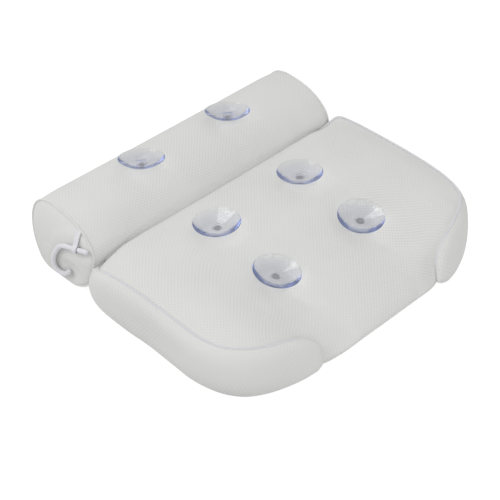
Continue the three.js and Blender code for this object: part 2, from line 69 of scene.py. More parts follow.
LOWER = {
    "right": [
        (0, -5, 43.5), (55, -5, 43.5), (110, -5, 43.5), (155, -5, 42), (165, -5.5, 29),
        (177, -7, 14), (187, -19, 5.5), (190, -60, 3.2), (187, -103, 3.2),
        (185, -138, 3.2), (180, -166, 3.2), (171, -189, 3.2), (159, -207, 3.2),
        (143, -220, 3.2), (128, -229.5, 3.2), (113, -236.5, 3), (101, -240.5, 3),
        (90, -242, 3.6), (79.5, -239, 6), (65, -243.5, 8.5), (38, -245.5, 11), (0, -246, 11.5),
    ],
    "left": [
        (0, -5, 43.5), (55, -5, 43.5), (110, -5, 43.5), (157, -5, 38.5), (169, -5.5, 28.5),
        (181.5, -7.5, 15), (187, -19, 5.5), (190, -60, 3.2), (189, -103, 3.2),
        (190.5, -138, 3.0), (191, -167, 2.6), (185, -193, 2.2), (172.5, -212.5, 2),
        (155.5, -224, 2), (137, -231, 2), (119, -235, 2.2), (108, -236, 2.6),
        (100, -237.2, 3.2), (91.5, -237.5, 5), (74, -243, 8), (38, -245.5, 11), (0, -246, 11.5),
    ],
}
BULGE = {
    "right": [0, 0, 0, 0, 1, 2.5, 5, 6, 5, 4.5, 4, 4, 4.5, 4.5, 4.5, 4.5, 4, 2.5, 0, 0, 0, 0],
    "left": [0, 0, 0, 0, 1.5, 4.5, 6, 7, 7, 7, 7.5, 8, 8.5, 8.5, 8.5, 8, 7, 4, 0, 0, 0, 0],
}
ROUND_TOP = [24, 24, 24, 24, 26, 28, 28, 28, 28, 28, 28, 28, 28, 28, 28, 28, 28, 28, 28, 30, 30, 30]
ROUND_LOW = [24, 24, 24, 24, 22, 18, 12, 10, 10, 10, 10, 10, 10, 10, 10, 10, 10, 12, 14, 16, 18, 18]
CENTRE = np.array([0.0, -118.0])
HEIGHT_Y = [-245, -225, -210, -190, -170, -145, -120, -100, -80, -60, -45, -25, 0]
HEIGHT_MID = [22, 25, 28, 31.5, 35, 40, 46.2, 50.8, 53.5, 54.6, 54.4, 52.5, 48.5]
HEIGHT_SIDE = [45, 47.5, 49.5, 52, 54, 56, 57, 57.3, 57.3, 57, 56.5, 55, 52]
ARCH = 7.0
CREASE_Z = 43.5
CREASE_CLOSE = 4.0  # the covers swell towards each other in the crease by this much

ROLL_SECTION = [
    (1.5, 34), (1.0, 44.5), (4.0, 53), (10.6, 61), (20, 68.2), (32, 73.9), (45, 77.4),
    (58, 78.7), (72, 79.2), (85.5, 75.8), (95.4, 67.3), (99.4, 55), (98.6, 40.8), (94, 26.5),
    (86.5, 14.2), (78, 5.4), (68, 1.1), (60, 0.2), (46, 0.2), (31, 0.2), (19, 1.2), (10, 6.4),
    (4.4, 15.5), (2.2, 25),
]
ROLL_CENTRE = np.array([51.5, 38.8])
ROLL_SEAM_X = 174.5
ROLL_TAPER = 0.935
ROLL_TAPER_FROM = 146.0
ROLL_DOME = {-1: 10.0, 1: 16.0}

CUP_R = 25.0
# name, seat on the cover (x, y, z), axis of the cup
def tilted(ty, tx):
    a = [math.sin(math.radians(tx)), math.sin(math.radians(ty)), 0]
    return np.array([a[0], a[1], math.sqrt(1 - a[0] ** 2 - a[1] ** 2)])
CUPS = [
    ("roll_left", (-63, 51, 77.139), tilted(4, 0)),
    ("roll_right", (63, 51, 77.139), tilted(4, 0)),
    ("upper_left", (-61, -61, 54.491), tilted(3, -2)),
    ("upper_right", (61, -61, 54.522), tilted(3, 2)),
    ("lower_left", (-63, -146, 42.446), tilted(-9, 4)),
    ("lower_right", (63, -146, 42.372), tilted(-9, -4)),
]
CUP_LEAN = {"roll_left": tilted(8.4, 7.2), "roll_right": tilted(8.4, 7.2)}  # soft bowls that lean on their necks
RING_LOW = {True: -2.0 - 2.8 - 1.2, False: -2.0 - 1.7 - 1.2}

HOOK_AT, HOOK_R = (-187.45, 35.75), 2.7  # the hook lies in an upright plane turned against the end panel
HOOK_TURN = math.radians(13)
BAR_TAPE = (-18.8, 52.7)
BAR_TILT = math.radians(-7.4)

FOLD = (0.0, Y0 * 0.001, HINGE_Z * 0.001)


# ------------------------------------------------------------------ small tools
def metres(p):
    p = np.array(p, float)
    p[..., 1] += Y0
    return p * 0.001


def smooth(a, b, x):
    t = np.clip((np.asarray(x, float) - a) / (b - a), 0, 1)
    return t * t * (3 - 2 * t)


def softer(a, b, x):
    t = np.clip((np.asarray(x, float) - a) / (b - a), 0, 1)
    return t ** 3 * (t * (6 * t - 15) + 10)


def spline(xs, ys):
    """A natural cubic through the points."""
    xs, ys = np.array(xs, float), np.array(ys, float)
    n, h = len(xs), np.diff(xs)
    a, r = np.eye(n), np.zeros(n)
    for i in range(1, n - 1):
        a[i, i - 1 : i + 2] = h[i - 1], 2 * (h[i - 1] + h[i]), h[i]
        r[i] = 6 * ((ys[i + 1] - ys[i]) / h[i] - (ys[i] - ys[i - 1]) / h[i - 1])
    m = np.linalg.solve(a, r)

    def f(x):
        x = np.clip(np.asarray(x, float), xs[0], xs[-1])
        i = np.clip(np.searchsorted(xs, x) - 1, 0, n - 2)
        p, q, w = xs[i + 1] - x, x - xs[i], h[i]
        return (m[i] * p ** 3 + m[i + 1] * q ** 3) / (6 * w) + (ys[i] / w - m[i] * w / 6) * p + (ys[i + 1] / w - m[i + 1] * w / 6) * q

    return f


def catmull(points, t, closed=True):
    """Centripetal curve through the points; t counts points."""
    p = np.array(points, float)
    n = len(p)
    t = np.asarray(t, float)
    if closed:
        t = np.mod(t, n)
        i = np.floor(t).astype(int)
        a, b, c, d = p[(i - 1) % n], p[i % n], p[(i + 1) % n], p[(i + 2) % n]
    else:
        i = np.clip(np.floor(t).astype(int), 0, n - 2)
        full = np.vstack([2 * p[0] - p[1], p, 2 * p[-1] - p[-2]])
        a, b, c, d = full[i], full[i + 1], full[i + 2], full[i + 3]
    w = (t - i)[..., None]
    d0 = np.maximum(np.linalg.norm(b - a, axis=-1, keepdims=True), 1e-6) ** 0.5
    d1 = np.maximum(np.linalg.norm(c - b, axis=-1, keepdims=True), 1e-6) ** 0.5
    d2 = np.maximum(np.linalg.norm(d - c, axis=-1, keepdims=True), 1e-6) ** 0.5
    t1 = ((b - a) / d0 - (c - a) / (d0 + d1) + (c - b) / d1) * d1
    t2 = ((c - b) / d1 - (d - b) / (d1 + d2) + (d - c) / d2) * d1
    return b + t1 * w + (-3 * b + 3 * c - 2 * t1 - t2) * w ** 2 + (2 * b - 2 * c + t1 + t2) * w ** 3


def evenly(points, n, closed=False):
    """n points (n + 1 with both ends if open) spaced evenly along a polyline."""
    p = np.array(points, float)
    if closed:
        p = np.vstack([p, p[:1]])
    run = np.concatenate([[0], np.cumsum(np.linalg.norm(np.diff(p, axis=0), axis=1))])
    want = np.linspace(0, run[-1], n + 1)
    if closed:
        want = want[:-1]
    return np.stack([np.interp(want, run, p[:, k]) for k in range(p.shape[1])], 1)


def new_object(name, co, faces, uv=None, material=None, smooth_shade=True):
    """A mesh object from metres, with an optional weave map of one pair per vertex, in millimetres."""
    me = bpy.data.meshes.new(name)
    me.from_pydata([tuple(map(float, p)) for p in co], [], [tuple(map(int, f)) for f in faces])
    if uv is not None:
        layer = me.uv_layers.new(name="weave")
        index = np.zeros(len(me.loops), int)
        me.loops.foreach_get("vertex_index", index)
        layer.data.foreach_set("uv", np.asarray(uv, np.float32)[index].ravel())
    me.validate()
    me.update()
    if smooth_shade:
        me.polygons.foreach_set("use_smooth", [True] * len(me.polygons))
    o = bpy.data.objects.new(name, me)
    bpy.context.scene.collection.objects.link(o)
    if material is not None:
        me.materials.append(material)
    return o


def settle(o):
    """Applies the object's modifiers to its mesh."""
    bpy.context.view_layer.update()
    dg = bpy.context.evaluated_depsgraph_get()
    made = bpy.data.meshes.new_from_object(o.evaluated_get(dg), preserve_all_data_layers=True, depsgraph=dg)
    old = o.data
    o.modifiers.clear()
    o.data = made
    made.name = o.name
    bpy.data.meshes.remove(old)
    return o


def tidy(o):
    """Cuts the many-sided faces beside a hole into triangles and takes out flat doubled ones."""
    bm = bmesh.new()
    bm.from_mesh(o.data)
    bmesh.ops.triangulate(bm, faces=[f for f in bm.faces if len(f.verts) > 4], ngon_method="EAR_CLIP")
    same = {}
    for f in bm.faces:
        same.setdefault(frozenset(v.index for v in f.verts), []).append(f)
    bmesh.ops.delete(bm, geom=[f for fs in same.values() if len(fs) > 1 for f in fs], context="FACES")
    for _ in range(3):
        stray = [f for f in bm.faces if f.calc_area() < 1e-6 and any(len(e.link_faces) == 1 for e in f.edges)]
        bmesh.ops.delete(bm, geom=stray, context="FACES")
    bm.to_mesh(o.data)
    bm.free()
    o.data.update()
    return o


def coords(o):
    co = np.zeros(len(o.data.vertices) * 3)
    o.data.vertices.foreach_get("co", co)
    return co.reshape(-1, 3)


# ------------------------------------------------------------------ main section: its seams
KEYS = 42
def _both(lines):
    return [p for p in lines["right"]] + [(-x, y, z) for x, y, z in lines["left"][1:-1][::-1]]


_around_up, _around_low = _both(UPPER), _both(LOWER)
_around_bulge = BULGE["right"] + BULGE["left"][1:-1][::-1]


def halfway(s):
    w = np.mod(s, KEYS)
    return np.where(w > 21, KEYS - w, w)


def seam(s, low=False):
    s = np.atleast_1d(np.asarray(s, float))
    up, lo = catmull(_around_up, s), catmull(_around_low, s)
    h = halfway(s)
    plain = (h <= 3) | (h >= 18)
    p = np.where(plain[:, None], (up + lo) / 2, lo if low else up)
    p[h <= 2, 2] = CREASE_Z
    # the covers swell into the crease
    p[:, 1] += CREASE_CLOSE * (1 - smooth(140, 171, np.abs(p[:, 0]))) * (h < 6)
    return p


def keyed(values, s):
    return spline(np.arange(22), values)(halfway(s))


def bulge(s):
    s = np.mod(np.atleast_1d(np.asarray(s, float)), KEYS)
    return np.maximum(spline(np.arange(KEYS + 1), _around_bulge + _around_bulge[:1])(s), 0)


def outward(s):
    s = np.atleast_1d(np.asarray(s, float))
    d = 0.06
    t = seam(s + d) + seam(s + d, True) - seam(s - d) - seam(s - d, True)
    n = np.stack([t[:, 1], -t[:, 0], 0 * s], 1)
    n /= np.linalg.norm(n, axis=1, keepdims=True)
    p = seam(s)
    flip = (n[:, 0] * (p[:, 0] - CENTRE[0]) + n[:, 1] * (p[:, 1] - CENTRE[1])) < 0
    n[flip] *= -1
    return n


_mid, _side = spline(HEIGHT_Y, HEIGHT_MID), spline(HEIGHT_Y, HEIGHT_SIDE)


def back_height(x, y):
    m, e = _mid(y), _side(y)
    return m + (e - m) * smooth(50, 150, np.abs(x))


def front_height(x, y):
    return ARCH * (1 - smooth(20, 110, np.abs(x))) * smooth(20, 110, -np.asarray(y, float))


def face_z(x, y, low):
    """Height of the back, or of the front, at (x, y)."""
    table = _tables[low]
    dx, dy = x - CENTRE[0], y - CENTRE[1]
    ang, r = np.arctan2(dx, dy), np.hypot(dx, dy)
    reach, zs, inset, hs = (np.interp(ang, table[0], table[k], period=2 * math.pi) for k in (1, 2, 3, 4))
    turn = np.arcsin(np.clip(1 - (reach - r) / inset, 0, 1))
    h = front_height(x, y) if low else back_height(x, y)
    return h + (zs - hs) * (1 - np.cos(turn))


def _table(low):
    s = np.linspace(0, KEYS, 2400, endpoint=False)
    p = seam(s, low)
    dx, dy = p[:, 0] - CENTRE[0], p[:, 1] - CENTRE[1]
    ang = np.arctan2(dx, dy)
    order = np.argsort(ang)
    h = front_height(p[:, 0], p[:, 1]) if low else back_height(p[:, 0], p[:, 1])
    inset = keyed(ROUND_LOW if low else ROUND_TOP, s)
    return [ang[order], np.hypot(dx, dy)[order], p[order, 2], inset[order], h[order]]


_tables = {False: _table(False), True: _table(True)}


def along(s0, s1, n):
    """n + 1 values of s from s0 to s1, evenly spaced along the mean seam line."""
    s = np.linspace(s0, s1, 400)
    p = (seam(s) + seam(s, True)) / 2
    run = np.concatenate([[0], np.cumsum(np.linalg.norm(np.diff(p, axis=0), axis=1))])
    return np.interp(np.linspace(0, run[-1], n + 1), run, s)


# ------------------------------------------------------------------ main section: one closed mesh
NU, NV, NT = 80, 46, 10
ring_s = np.concatenate([
    along(37, 39, 6)[:-1], along(39, 45, 68)[:-1], along(45, 47, 6)[:-1],
    along(5, 12.5, NV)[:-1],
    along(12.5, 18, 20)[:-1], along(18, 24, 40)[:-1], along(24, 29.5, 20)[:-1],
    along(29.5, 37, NV)[:-1],
])
ring_h = halfway(ring_s)
N = len(ring_s)
has_gusset = (ring_h > 3.001) & (ring_h < 17.999)

points = [tuple(p) for p in seam(ring_s)]
up_id = np.arange(N)
low_id = up_id.copy()
for i in np.nonzero(has_gusset)[0]:
    low_id[i] = len(points)
    points.append(tuple(seam(ring_s[i : i + 1], True)[0]))


def patch(ids, low):
    """Vertex numbers of a panel as a grid of rows from the crease down, and its interior points appended."""
    global points
    P = np.array(points)
    top = ids[: NU + 1]
    right = ids[NU : NU + NV + 1]
    bottom = ids[NU + NV : 2 * NU + NV + 1][::-1]
    left = np.concatenate([ids[2 * NU + NV :], ids[:1]])[::-1]
    u, v = np.linspace(0, 1, NU + 1)[None, :, None], np.linspace(0, 1, NV + 1)[:, None, None]
    T, B, L, R = P[top][None], P[bottom][None], P[left][:, None], P[right][:, None]
    g = (1 - v) * T + v * B + (1 - u) * L + u * R - (
        (1 - u) * (1 - v) * T[:, :1] + u * (1 - v) * T[:, -1:] + (1 - u) * v * B[:, :1] + u * v * B[:, -1:]
    )
    g[1:-1, 1:-1, 2] = face_z(g[1:-1, 1:-1, 0], g[1:-1, 1:-1, 1], low)
    for _ in range(40 if not low else 20):
        x, y = np.abs(g[..., 0]), g[..., 1]
        w = 0.5 * (1 - smooth(-205, -180, y)) * smooth(40, 62, x) * (1 - smooth(120, 150, x))
        mean = (g[:-2, 1:-1] + g[2:, 1:-1] + g[1:-1, :-2] + g[1:-1, 2:]) / 4
        g[1:-1, 1:-1] += w[1:-1, 1:-1, None] * (mean - g[1:-1, 1:-1])
    grid = np.zeros((NV + 1, NU + 1), int)
    grid[0], grid[-1], grid[:, 0], grid[:, -1] = top, bottom, left, right
    for j in range(1, NV):
        for i in range(1, NU):
            grid[j, i] = len(points)
            points.append(tuple(g[j, i]))
    return grid


back_grid = patch(up_id, False)
front_grid = patch(low_id, True)


def strip(first, last):
    """Vertex numbers of a gusset, a row for each place along the seam."""
    where = [i % N for i in range(first, last + 1)]
    rows = []
    for i in where:
        if not has_gusset[i]:
            rows.append([up_id[i]] * (NT + 1))
            continue
        s = ring_s[i : i + 1]
        t = np.linspace(0, 1, NT + 1)[1:-1, None]
        a, b, n, k = seam(s)[0], seam(s, True)[0], outward(s)[0], float(bulge(s)[0])
        row = [up_id[i]]
        for q, p in zip(t[:, 0], a * (1 - t) + b * t):
            row.append(len(points))
            points.append(tuple(p + n * k * (1 - abs(2 * q - 1) ** 2.4)))
        rows.append(row + [low_id[i]])
    return np.array(rows)


_near = lambda s: int(np.argmin(np.abs(np.mod(ring_s, KEYS) - s)))
right_strip = strip(_near(3), _near(18))
left_strip = strip(_near(24), _near(39) if _near(39) > _near(24) else _near(39) + N)


def grid_faces(g, flip=False):
    f = []
    for j in range(g.shape[0] - 1):
        for i in range(g.shape[1] - 1):
            q = [g[j, i], g[j + 1, i], g[j + 1, i + 1], g[j, i + 1]]
            if flip:
                q = q[::-1]
            q = [x for k, x in enumerate(q) if x != q[k - 1]]
            if len(q) > 2:
                f.append(tuple(q))
    return f


main_faces = {
    "main_back": grid_faces(back_grid),
    "main_front": grid_faces(front_grid, True),
    "main_gusset_right": grid_faces(right_strip, True),
    "main_gusset_left": grid_faces(left_strip, True),
}
main_points = np.array(points)


def press_seats(p, onroll, pull=1.0):
    """Presses the cover flat under each cup's collar."""
    for name, at, axis in CUPS:
        if name.startswith("roll") != onroll:
            continue
        d = p - np.array(at)
        h = d @ axis
        r = np.linalg.norm(d - h[:, None] * axis, axis=1)
        w = (1 - smooth(9, 26, r)) * (np.abs(h) < 14) * pull
        p = p - (w * (h + 0.05))[:, None] * axis
    return p


def near_seats(p, onroll, reach):
    found = np.zeros(len(p), bool)
    for name, at, axis in CUPS:
        if name.startswith("roll") == onroll:
            d = p - np.array(at)
            h = d @ axis
            found |= (np.linalg.norm(d - h[:, None] * axis, axis=1) < reach) & (np.abs(h) < 8)
    return found


def arc_map(g):
    """Weave coordinates of a grid of points, in millimetres along its rows and columns."""
    du = np.concatenate([np.zeros((g.shape[0], 1)), np.cumsum(np.linalg.norm(np.diff(g, axis=1), axis=2), 1)], 1)
    dv = np.concatenate([np.zeros((1, g.shape[1])), np.cumsum(np.linalg.norm(np.diff(g, axis=0), axis=2), 0)], 0)
    du -= du[:, g.shape[1] // 2][:, None]
    dv -= dv[g.shape[0] // 2][None]
    return np.stack([du, dv], 2)


# ------------------------------------------------------------------ stuffing by cloth simulation
def vertex_normals(p, faces):
    n = np.zeros_like(p)
    for f in faces:
        f = np.array(f)
        k = np.cross(p[f[1]] - p[f[0]], p[f[2]] - p[f[0]])
        if len(f) > 3:
            k = k + np.cross(p[f[2]] - p[f[0]], p[f[3]] - p[f[0]])
        n[f] += k
    return n / np.maximum(np.linalg.norm(n, axis=1, keepdims=True), 1e-9)


def stuff(name, p, faces, pinned, pressure, frames, cap, inset):
    """Swells a closed cover from a slightly smaller shape; pinned points hold. p is in millimetres."""
    depth = np.full(len(p), inset)
    depth[pinned] = 0
    # the inset fades in from the seams over a few cells
    neighbours = [set() for _ in p]
    for f in faces:
        for a, b in zip(f, f[1:] + f[:1]):
            neighbours[a].add(b)
            neighbours[b].add(a)
    for _ in range(6):
        depth = np.array([0 if pinned[i] else (depth[i] + depth[list(neighbours[i])].mean()) / 2 for i in range(len(p))])
    start = p - vertex_normals(p, faces) * depth[:, None]
    o = new_object(name, metres(start), faces)
    group = o.vertex_groups.new(name="held")
    group.add([int(i) for i in np.nonzero(pinned)[0]], 1.0, "REPLACE")
    cloth = o.modifiers.new("stuffing", "CLOTH")
    s = cloth.settings
    s.quality, s.mass, s.air_damping = 6, 0.25, 2.0
    s.tension_stiffness = s.compression_stiffness = 22
    s.shear_stiffness, s.bending_stiffness = 12, 1.2
    s.tension_damping = s.compression_damping = 12
    s.vertex_group_mass = "held"
    s.pin_stiffness = 1.0
    s.use_pressure = True
    s.uniform_pressure_force = pressure
    s.effector_weights.gravity = 0
    cloth.collision_settings.use_collision = False
    cloth.collision_settings.use_self_collision = False
    cloth.point_cache.frame_start, cloth.point_cache.frame_end = 1, frames
    scene = bpy.context.scene
    scene.frame_start, scene.frame_end = 1, frames
    for f in range(1, frames + 1):
        scene.frame_set(f)
    dg = bpy.context.evaluated_depsgraph_get()
    e = o.evaluated_get(dg)
    co = np.zeros(len(e.data.vertices) * 3)
    e.data.vertices.foreach_get("co", co)
    got = co.reshape(-1, 3) * 1000
    got[:, 1] -= Y0
    move = got - start
    far = np.linalg.norm(move, axis=1, keepdims=True)
    got = start + move * np.minimum(1, cap / np.maximum(far, 1e-9))
    got[pinned] = p[pinned]
    bpy.data.objects.remove(o)
    scene.frame_set(1)
    off = np.einsum("ij,ij->i", got - p, vertex_normals(p, faces))
    print("stuffed", name, "moved mm", np.round([far.max(), far.mean()], 2), "off the drawn shape mm", np.round([off.min(), off.mean(), off.max()], 2))
    return got


# ------------------------------------------------------------------ materials
def tree(name):
    mat = bpy.data.materials.new(name)
    mat.use_nodes = True
    nt = mat.node_tree
    nt.nodes.clear()
    out = nt.nodes.new("ShaderNodeOutputMaterial")
    bsdf = nt.nodes.new("ShaderNodeBsdfPrincipled")
    nt.links.new(bsdf.outputs[0], out.inputs["Surface"])
    return mat, nt, bsdf, out


def node(nt, kind, **inputs):
    n = nt.nodes.new(kind)
    for k, v in inputs.items():
        setattr(n, k, v)
    return n


def plug(nt, value, socket):
    if hasattr(value, "is_output"):
        nt.links.new(value, socket)
    else:
        socket.default_value = value


def calc(nt, op, a, b=None, c=None):
    n = node(nt, "ShaderNodeMath", operation=op)
    for k, v in enumerate((a, b, c)):
        if v is not None:
            plug(nt, v, n.inputs[k])
    return n.outputs[0]


def dot(nt, vec, k):
    n = node(nt, "ShaderNodeVectorMath", operation="DOT_PRODUCT")
    nt.links.new(vec, n.inputs[0])
    n.inputs[1].default_value = k
    return n.outputs["Value"]


def ramp(nt, value, lo, hi, to0=0.0, to1=1.0):
    n = node(nt, "ShaderNodeMapRange", interpolation_type="SMOOTHSTEP")
    nt.links.new(value, n.inputs["Value"])
    for k, v in (("From Min", lo), ("From Max", hi), ("To Min", to0), ("To Max", to1)):
        n.inputs[k].default_value = v
    return n.outputs[0]


def mix(nt, factor, a, b):
    n = node(nt, "ShaderNodeMix", data_type="RGBA")
    plug(nt, factor, n.inputs[0])
    plug(nt, a, n.inputs[6])
    plug(nt, b, n.inputs[7])
    return n.outputs[2]


def noise(nt, vec, scale, detail=2.0, rough=0.5):
    n = node(nt, "ShaderNodeTexNoise")
    nt.links.new(vec, n.inputs["Vector"])
    n.inputs["Scale"].default_value = scale
    n.inputs["Detail"].default_value = detail
    n.inputs["Roughness"].default_value = rough
    return n.outputs["Fac"]


def srgb(r, g, b):
    lin = lambda v: v / 12.92 if v <= 0.04045 else ((v + 0.055) / 1.055) ** 2.4
    return (lin(r / 255), lin(g / 255), lin(b / 255), 1.0)


def air_mesh(name, kx, ky, yarn, hole, depth=0.00016, hole_share=0.2, calm=1.0):
    """Open knit: small holes on a lattice, plump yarn between them, slow tone changes."""
    mat, nt, bsdf, out = tree(name)
    uv = node(nt, "ShaderNodeUVMap", uv_map="weave").outputs[0]
    where = node(nt, "ShaderNodeTexCoord").outputs["Object"]
    # the knit wanders a little
    drift = node(nt, "ShaderNodeTexNoise")
    nt.links.new(where, drift.inputs["Vector"])
    drift.inputs["Scale"].default_value = 22
    drift.inputs["Detail"].default_value = 1
    push = node(nt, "ShaderNodeVectorMath", operation="MULTIPLY_ADD")
    nt.links.new(drift.outputs["Color"], push.inputs[0])
    push.inputs[1].default_value = (2.2, 2.2, 0)
    nt.links.new(uv, push.inputs[2])
    uv = push.outputs[0]
    tau = 2 * math.pi
    a = calc(nt, "COSINE", calc(nt, "MULTIPLY", dot(nt, uv, (kx, ky, 0)), tau))
    b = calc(nt, "COSINE", calc(nt, "MULTIPLY", dot(nt, uv, (kx, -ky, 0)), tau))
    lattice = calc(nt, "ADD", a, b)
    # here and there the knit lies flatter and shows less
    shows = ramp(nt, noise(nt, where, 13, 2, 0.5), 0.38, 0.62, calm, 1.0)
    holes = calc(nt, "MULTIPLY", ramp(nt, lattice, -0.4, 1.7), shows)
    # the yarn's own loops, finer than the holes
    loop = calc(nt, "SINE", calc(nt, "MULTIPLY", dot(nt, uv, (kx * 4, ky * 1.0, 0)), tau))
    loop2 = calc(nt, "SINE", calc(nt, "MULTIPLY", dot(nt, uv, (kx * 1.0, -ky * 4, 0)), tau))
    loops = calc(nt, "MULTIPLY", calc(nt, "ADD", loop, loop2), 0.12)
    fuzz = noise(nt, where, 1400, 3, 0.6)
    tone = noise(nt, where, 14, 3, 0.55)
    shade = mix(nt, calc(nt, "MULTIPLY", holes, hole_share), yarn, hole)
    warm = tuple(c * k for c, k in zip(yarn[:3], (0.955, 0.955, 0.93))) + (1.0,)
    slow = ramp(nt, tone, 0.35, 0.75)
    n = node(nt, "ShaderNodeMix", data_type="RGBA", blend_type="MULTIPLY")
    plug(nt, calc(nt, "MULTIPLY", slow, 0.5), n.inputs[0])
    nt.links.new(shade, n.inputs[6])
    n.inputs[7].default_value = (0.97, 0.972, 0.962, 1)
    nt.links.new(n.outputs[2], bsdf.inputs["Base Color"])
    height = calc(nt, "ADD", calc(nt, "SUBTRACT", loops, holes), calc(nt, "MULTIPLY", fuzz, 0.35))
    bump = node(nt, "ShaderNodeBump")
    bump.inputs["Strength"].default_value = 0.55
    bump.inputs["Distance"].default_value = depth
    nt.links.new(height, bump.inputs["Height"])
    nt.links.new(bump.outputs[0], bsdf.inputs["Normal"])
    rough = calc(nt, "MULTIPLY_ADD", fuzz, 0.2, 0.72)
    nt.links.new(rough, bsdf.inputs["Roughness"])
    bsdf.inputs["Sheen Weight"].default_value = 0.25
    bsdf.inputs["Sheen Roughness"].default_value = 0.5
    bsdf.inputs["Specular IOR Level"].default_value = 0.25
    return mat


def binding(name, colour, groove):
    """Woven binding, with its ribs across the length."""
    mat, nt, bsdf, out = tree(name)
    uv = node(nt, "ShaderNodeUVMap", uv_map="weave").outputs[0]
    where = node(nt, "ShaderNodeTexCoord").outputs["Object"]
    tau = 2 * math.pi
    rib = calc(nt, "SINE", calc(nt, "MULTIPLY", dot(nt, uv, (1.25, 0.35, 0)), tau))
    rib2 = calc(nt, "SINE", calc(nt, "MULTIPLY", dot(nt, uv, (1.25, -0.35, 0)), tau))
    ribs = calc(nt, "ADD", rib, rib2)
    fuzz = noise(nt, where, 1700, 2, 0.6)
    shade = mix(nt, ramp(nt, ribs, -1.6, 0.6, 0.55, 0.0), colour, groove)
    tone = noise(nt, where, 30, 2, 0.5)
    n = node(nt, "ShaderNodeMix", data_type="RGBA", blend_type="MULTIPLY")
    plug(nt, ramp(nt, tone, 0.35, 0.7, 0.0, 0.5), n.inputs[0])
    nt.links.new(shade, n.inputs[6])
    n.inputs[7].default_value = (0.95, 0.955, 0.965, 1)
    nt.links.new(n.outputs[2], bsdf.inputs["Base Color"])
    bump = node(nt, "ShaderNodeBump")
    bump.inputs["Strength"].default_value = 0.5
    bump.inputs["Distance"].default_value = 0.00025
    nt.links.new(calc(nt, "ADD", calc(nt, "MULTIPLY", ribs, 0.3), fuzz), bump.inputs["Height"])
    nt.links.new(bump.outputs[0], bsdf.inputs["Normal"])
    nt.links.new(calc(nt, "MULTIPLY_ADD", fuzz, 0.25, 0.5), bsdf.inputs["Roughness"])
    bsdf.inputs["Sheen Weight"].default_value = 0.3
    bsdf.inputs["Specular IOR Level"].default_value = 0.3
    return mat


def clear_pvc(name, tint, clear, soak=None):
    """Clear soft PVC: tinted through its depth, with faint mould haze in the gloss."""
    mat, nt, bsdf, out = tree(name)
    where = node(nt, "ShaderNodeTexCoord").outputs["Object"]
    cloud = noise(nt, where, 70, 2, 0.5)
    nt.links.new(mix(nt, ramp(nt, cloud, 0.3, 0.7), tint, tuple(c * 0.97 for c in tint[:3]) + (1.0,)), bsdf.inputs["Base Color"])
    bsdf.inputs["Transmission Weight"].default_value = clear
    bsdf.inputs["IOR"].default_value = 1.47
    haze = noise(nt, where, 60, 2, 0.5)
    nt.links.new(ramp(nt, haze, 0.35, 0.8, 0.045, 0.06), bsdf.inputs["Roughness"])
    ripple = noise(nt, where, 38, 2, 0.5)
    bump = node(nt, "ShaderNodeBump")
    bump.inputs["Strength"].default_value = 0.004
    bump.inputs["Distance"].default_value = 0.0003
    nt.links.new(ripple, bump.inputs["Height"])
    nt.links.new(bump.outputs[0], bsdf.inputs["Normal"])
    if soak:
        through = node(nt, "ShaderNodeVolumeAbsorption")
        through.inputs["Color"].default_value = soak[0]
        through.inputs["Density"].default_value = soak[1]
        nt.links.new(through.outputs[0], out.inputs["Volume"])
    return mat


def moulded(name, colour):
    """White moulded plastic with faint flow marks."""
    mat, nt, bsdf, out = tree(name)
    where = node(nt, "ShaderNodeTexCoord").outputs["Object"]
    flow = noise(nt, where, 90, 3, 0.55)
    shade = mix(nt, ramp(nt, flow, 0.3, 0.75), colour, tuple(c * 0.965 for c in colour[:3]) + (1.0,))
    nt.links.new(shade, bsdf.inputs["Base Color"])
    nt.links.new(ramp(nt, noise(nt, where, 420, 2, 0.6), 0.3, 0.7, 0.28, 0.42), bsdf.inputs["Roughness"])
    bump = node(nt, "ShaderNodeBump")
    bump.inputs["Strength"].default_value = 0.15
    bump.inputs["Distance"].default_value = 0.0003
    nt.links.new(flow, bump.inputs["Height"])
    nt.links.new(bump.outputs[0], bsdf.inputs["Normal"])
    return mat


YARN, HOLE = srgb(221, 221, 219), srgb(186, 186, 183)
MESH = air_mesh("air_mesh", 0.225, 0.215, YARN, HOLE, hole_share=0.3, calm=0.55)
MESH_SIDE = air_mesh("air_mesh_side", 0.24, 0.16, YARN, HOLE, depth=0.00015, hole_share=0.2, calm=0.1)
CORD = binding("piping_binding", srgb(224, 223, 227), srgb(207, 206, 211))
ROLL_CORD = binding("roll_piping_binding", srgb(228, 228, 226), srgb(215, 215, 212))
TAPE = binding("hook_tape_weave", srgb(230, 229, 234), srgb(210, 209, 216))
PVC = clear_pvc("clear_pvc", (0.967, 0.962, 0.962, 1), 1.0, ((0.30, 0.40, 0.71, 1), 42.0))
# The stem's grey is painted shade: it stands for the dark, shaded hole seen down the clear neck through each bowl.
STEM_PAINTED_SHADE = moulded("pvc_stem_painted_shade", srgb(168, 166, 169))
PLASTIC = moulded("hook_plastic", srgb(224, 223, 228))
PATCH = binding("ring_patch", srgb(232, 232, 230), srgb(205, 205, 202))

for name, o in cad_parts.items():
    if name.startswith("cup_ring"):
        o.data.materials.clear()
        o.data.materials.append(PATCH)


# ------------------------------------------------------------------ build the main section
def cutters(onroll):
    made = []
    for name, at, axis in CUPS:
        if name.startswith("roll") != onroll:
            continue
        a = np.array(axis)
        u = np.cross(a, (0, 1, 0))
        u /= np.linalg.norm(u)
        w = np.cross(a, u)
        ring = lambda h: [np.array(at) + a * h + 4.5 * (u * math.cos(k) + w * math.sin(k)) for k in np.linspace(0, 2 * math.pi, 28, endpoint=False)]
        co = metres(ring(-9) + ring(9))
        faces = [tuple(range(27, -1, -1)), tuple(range(28, 56))] + [(i, (i + 1) % 28, 28 + (i + 1) % 28, 28 + i) for i in range(28)]
        o = new_object("cut_" + name, co, faces, smooth_shade=False)
        o.hide_render = True
        made.append(o)
    return made


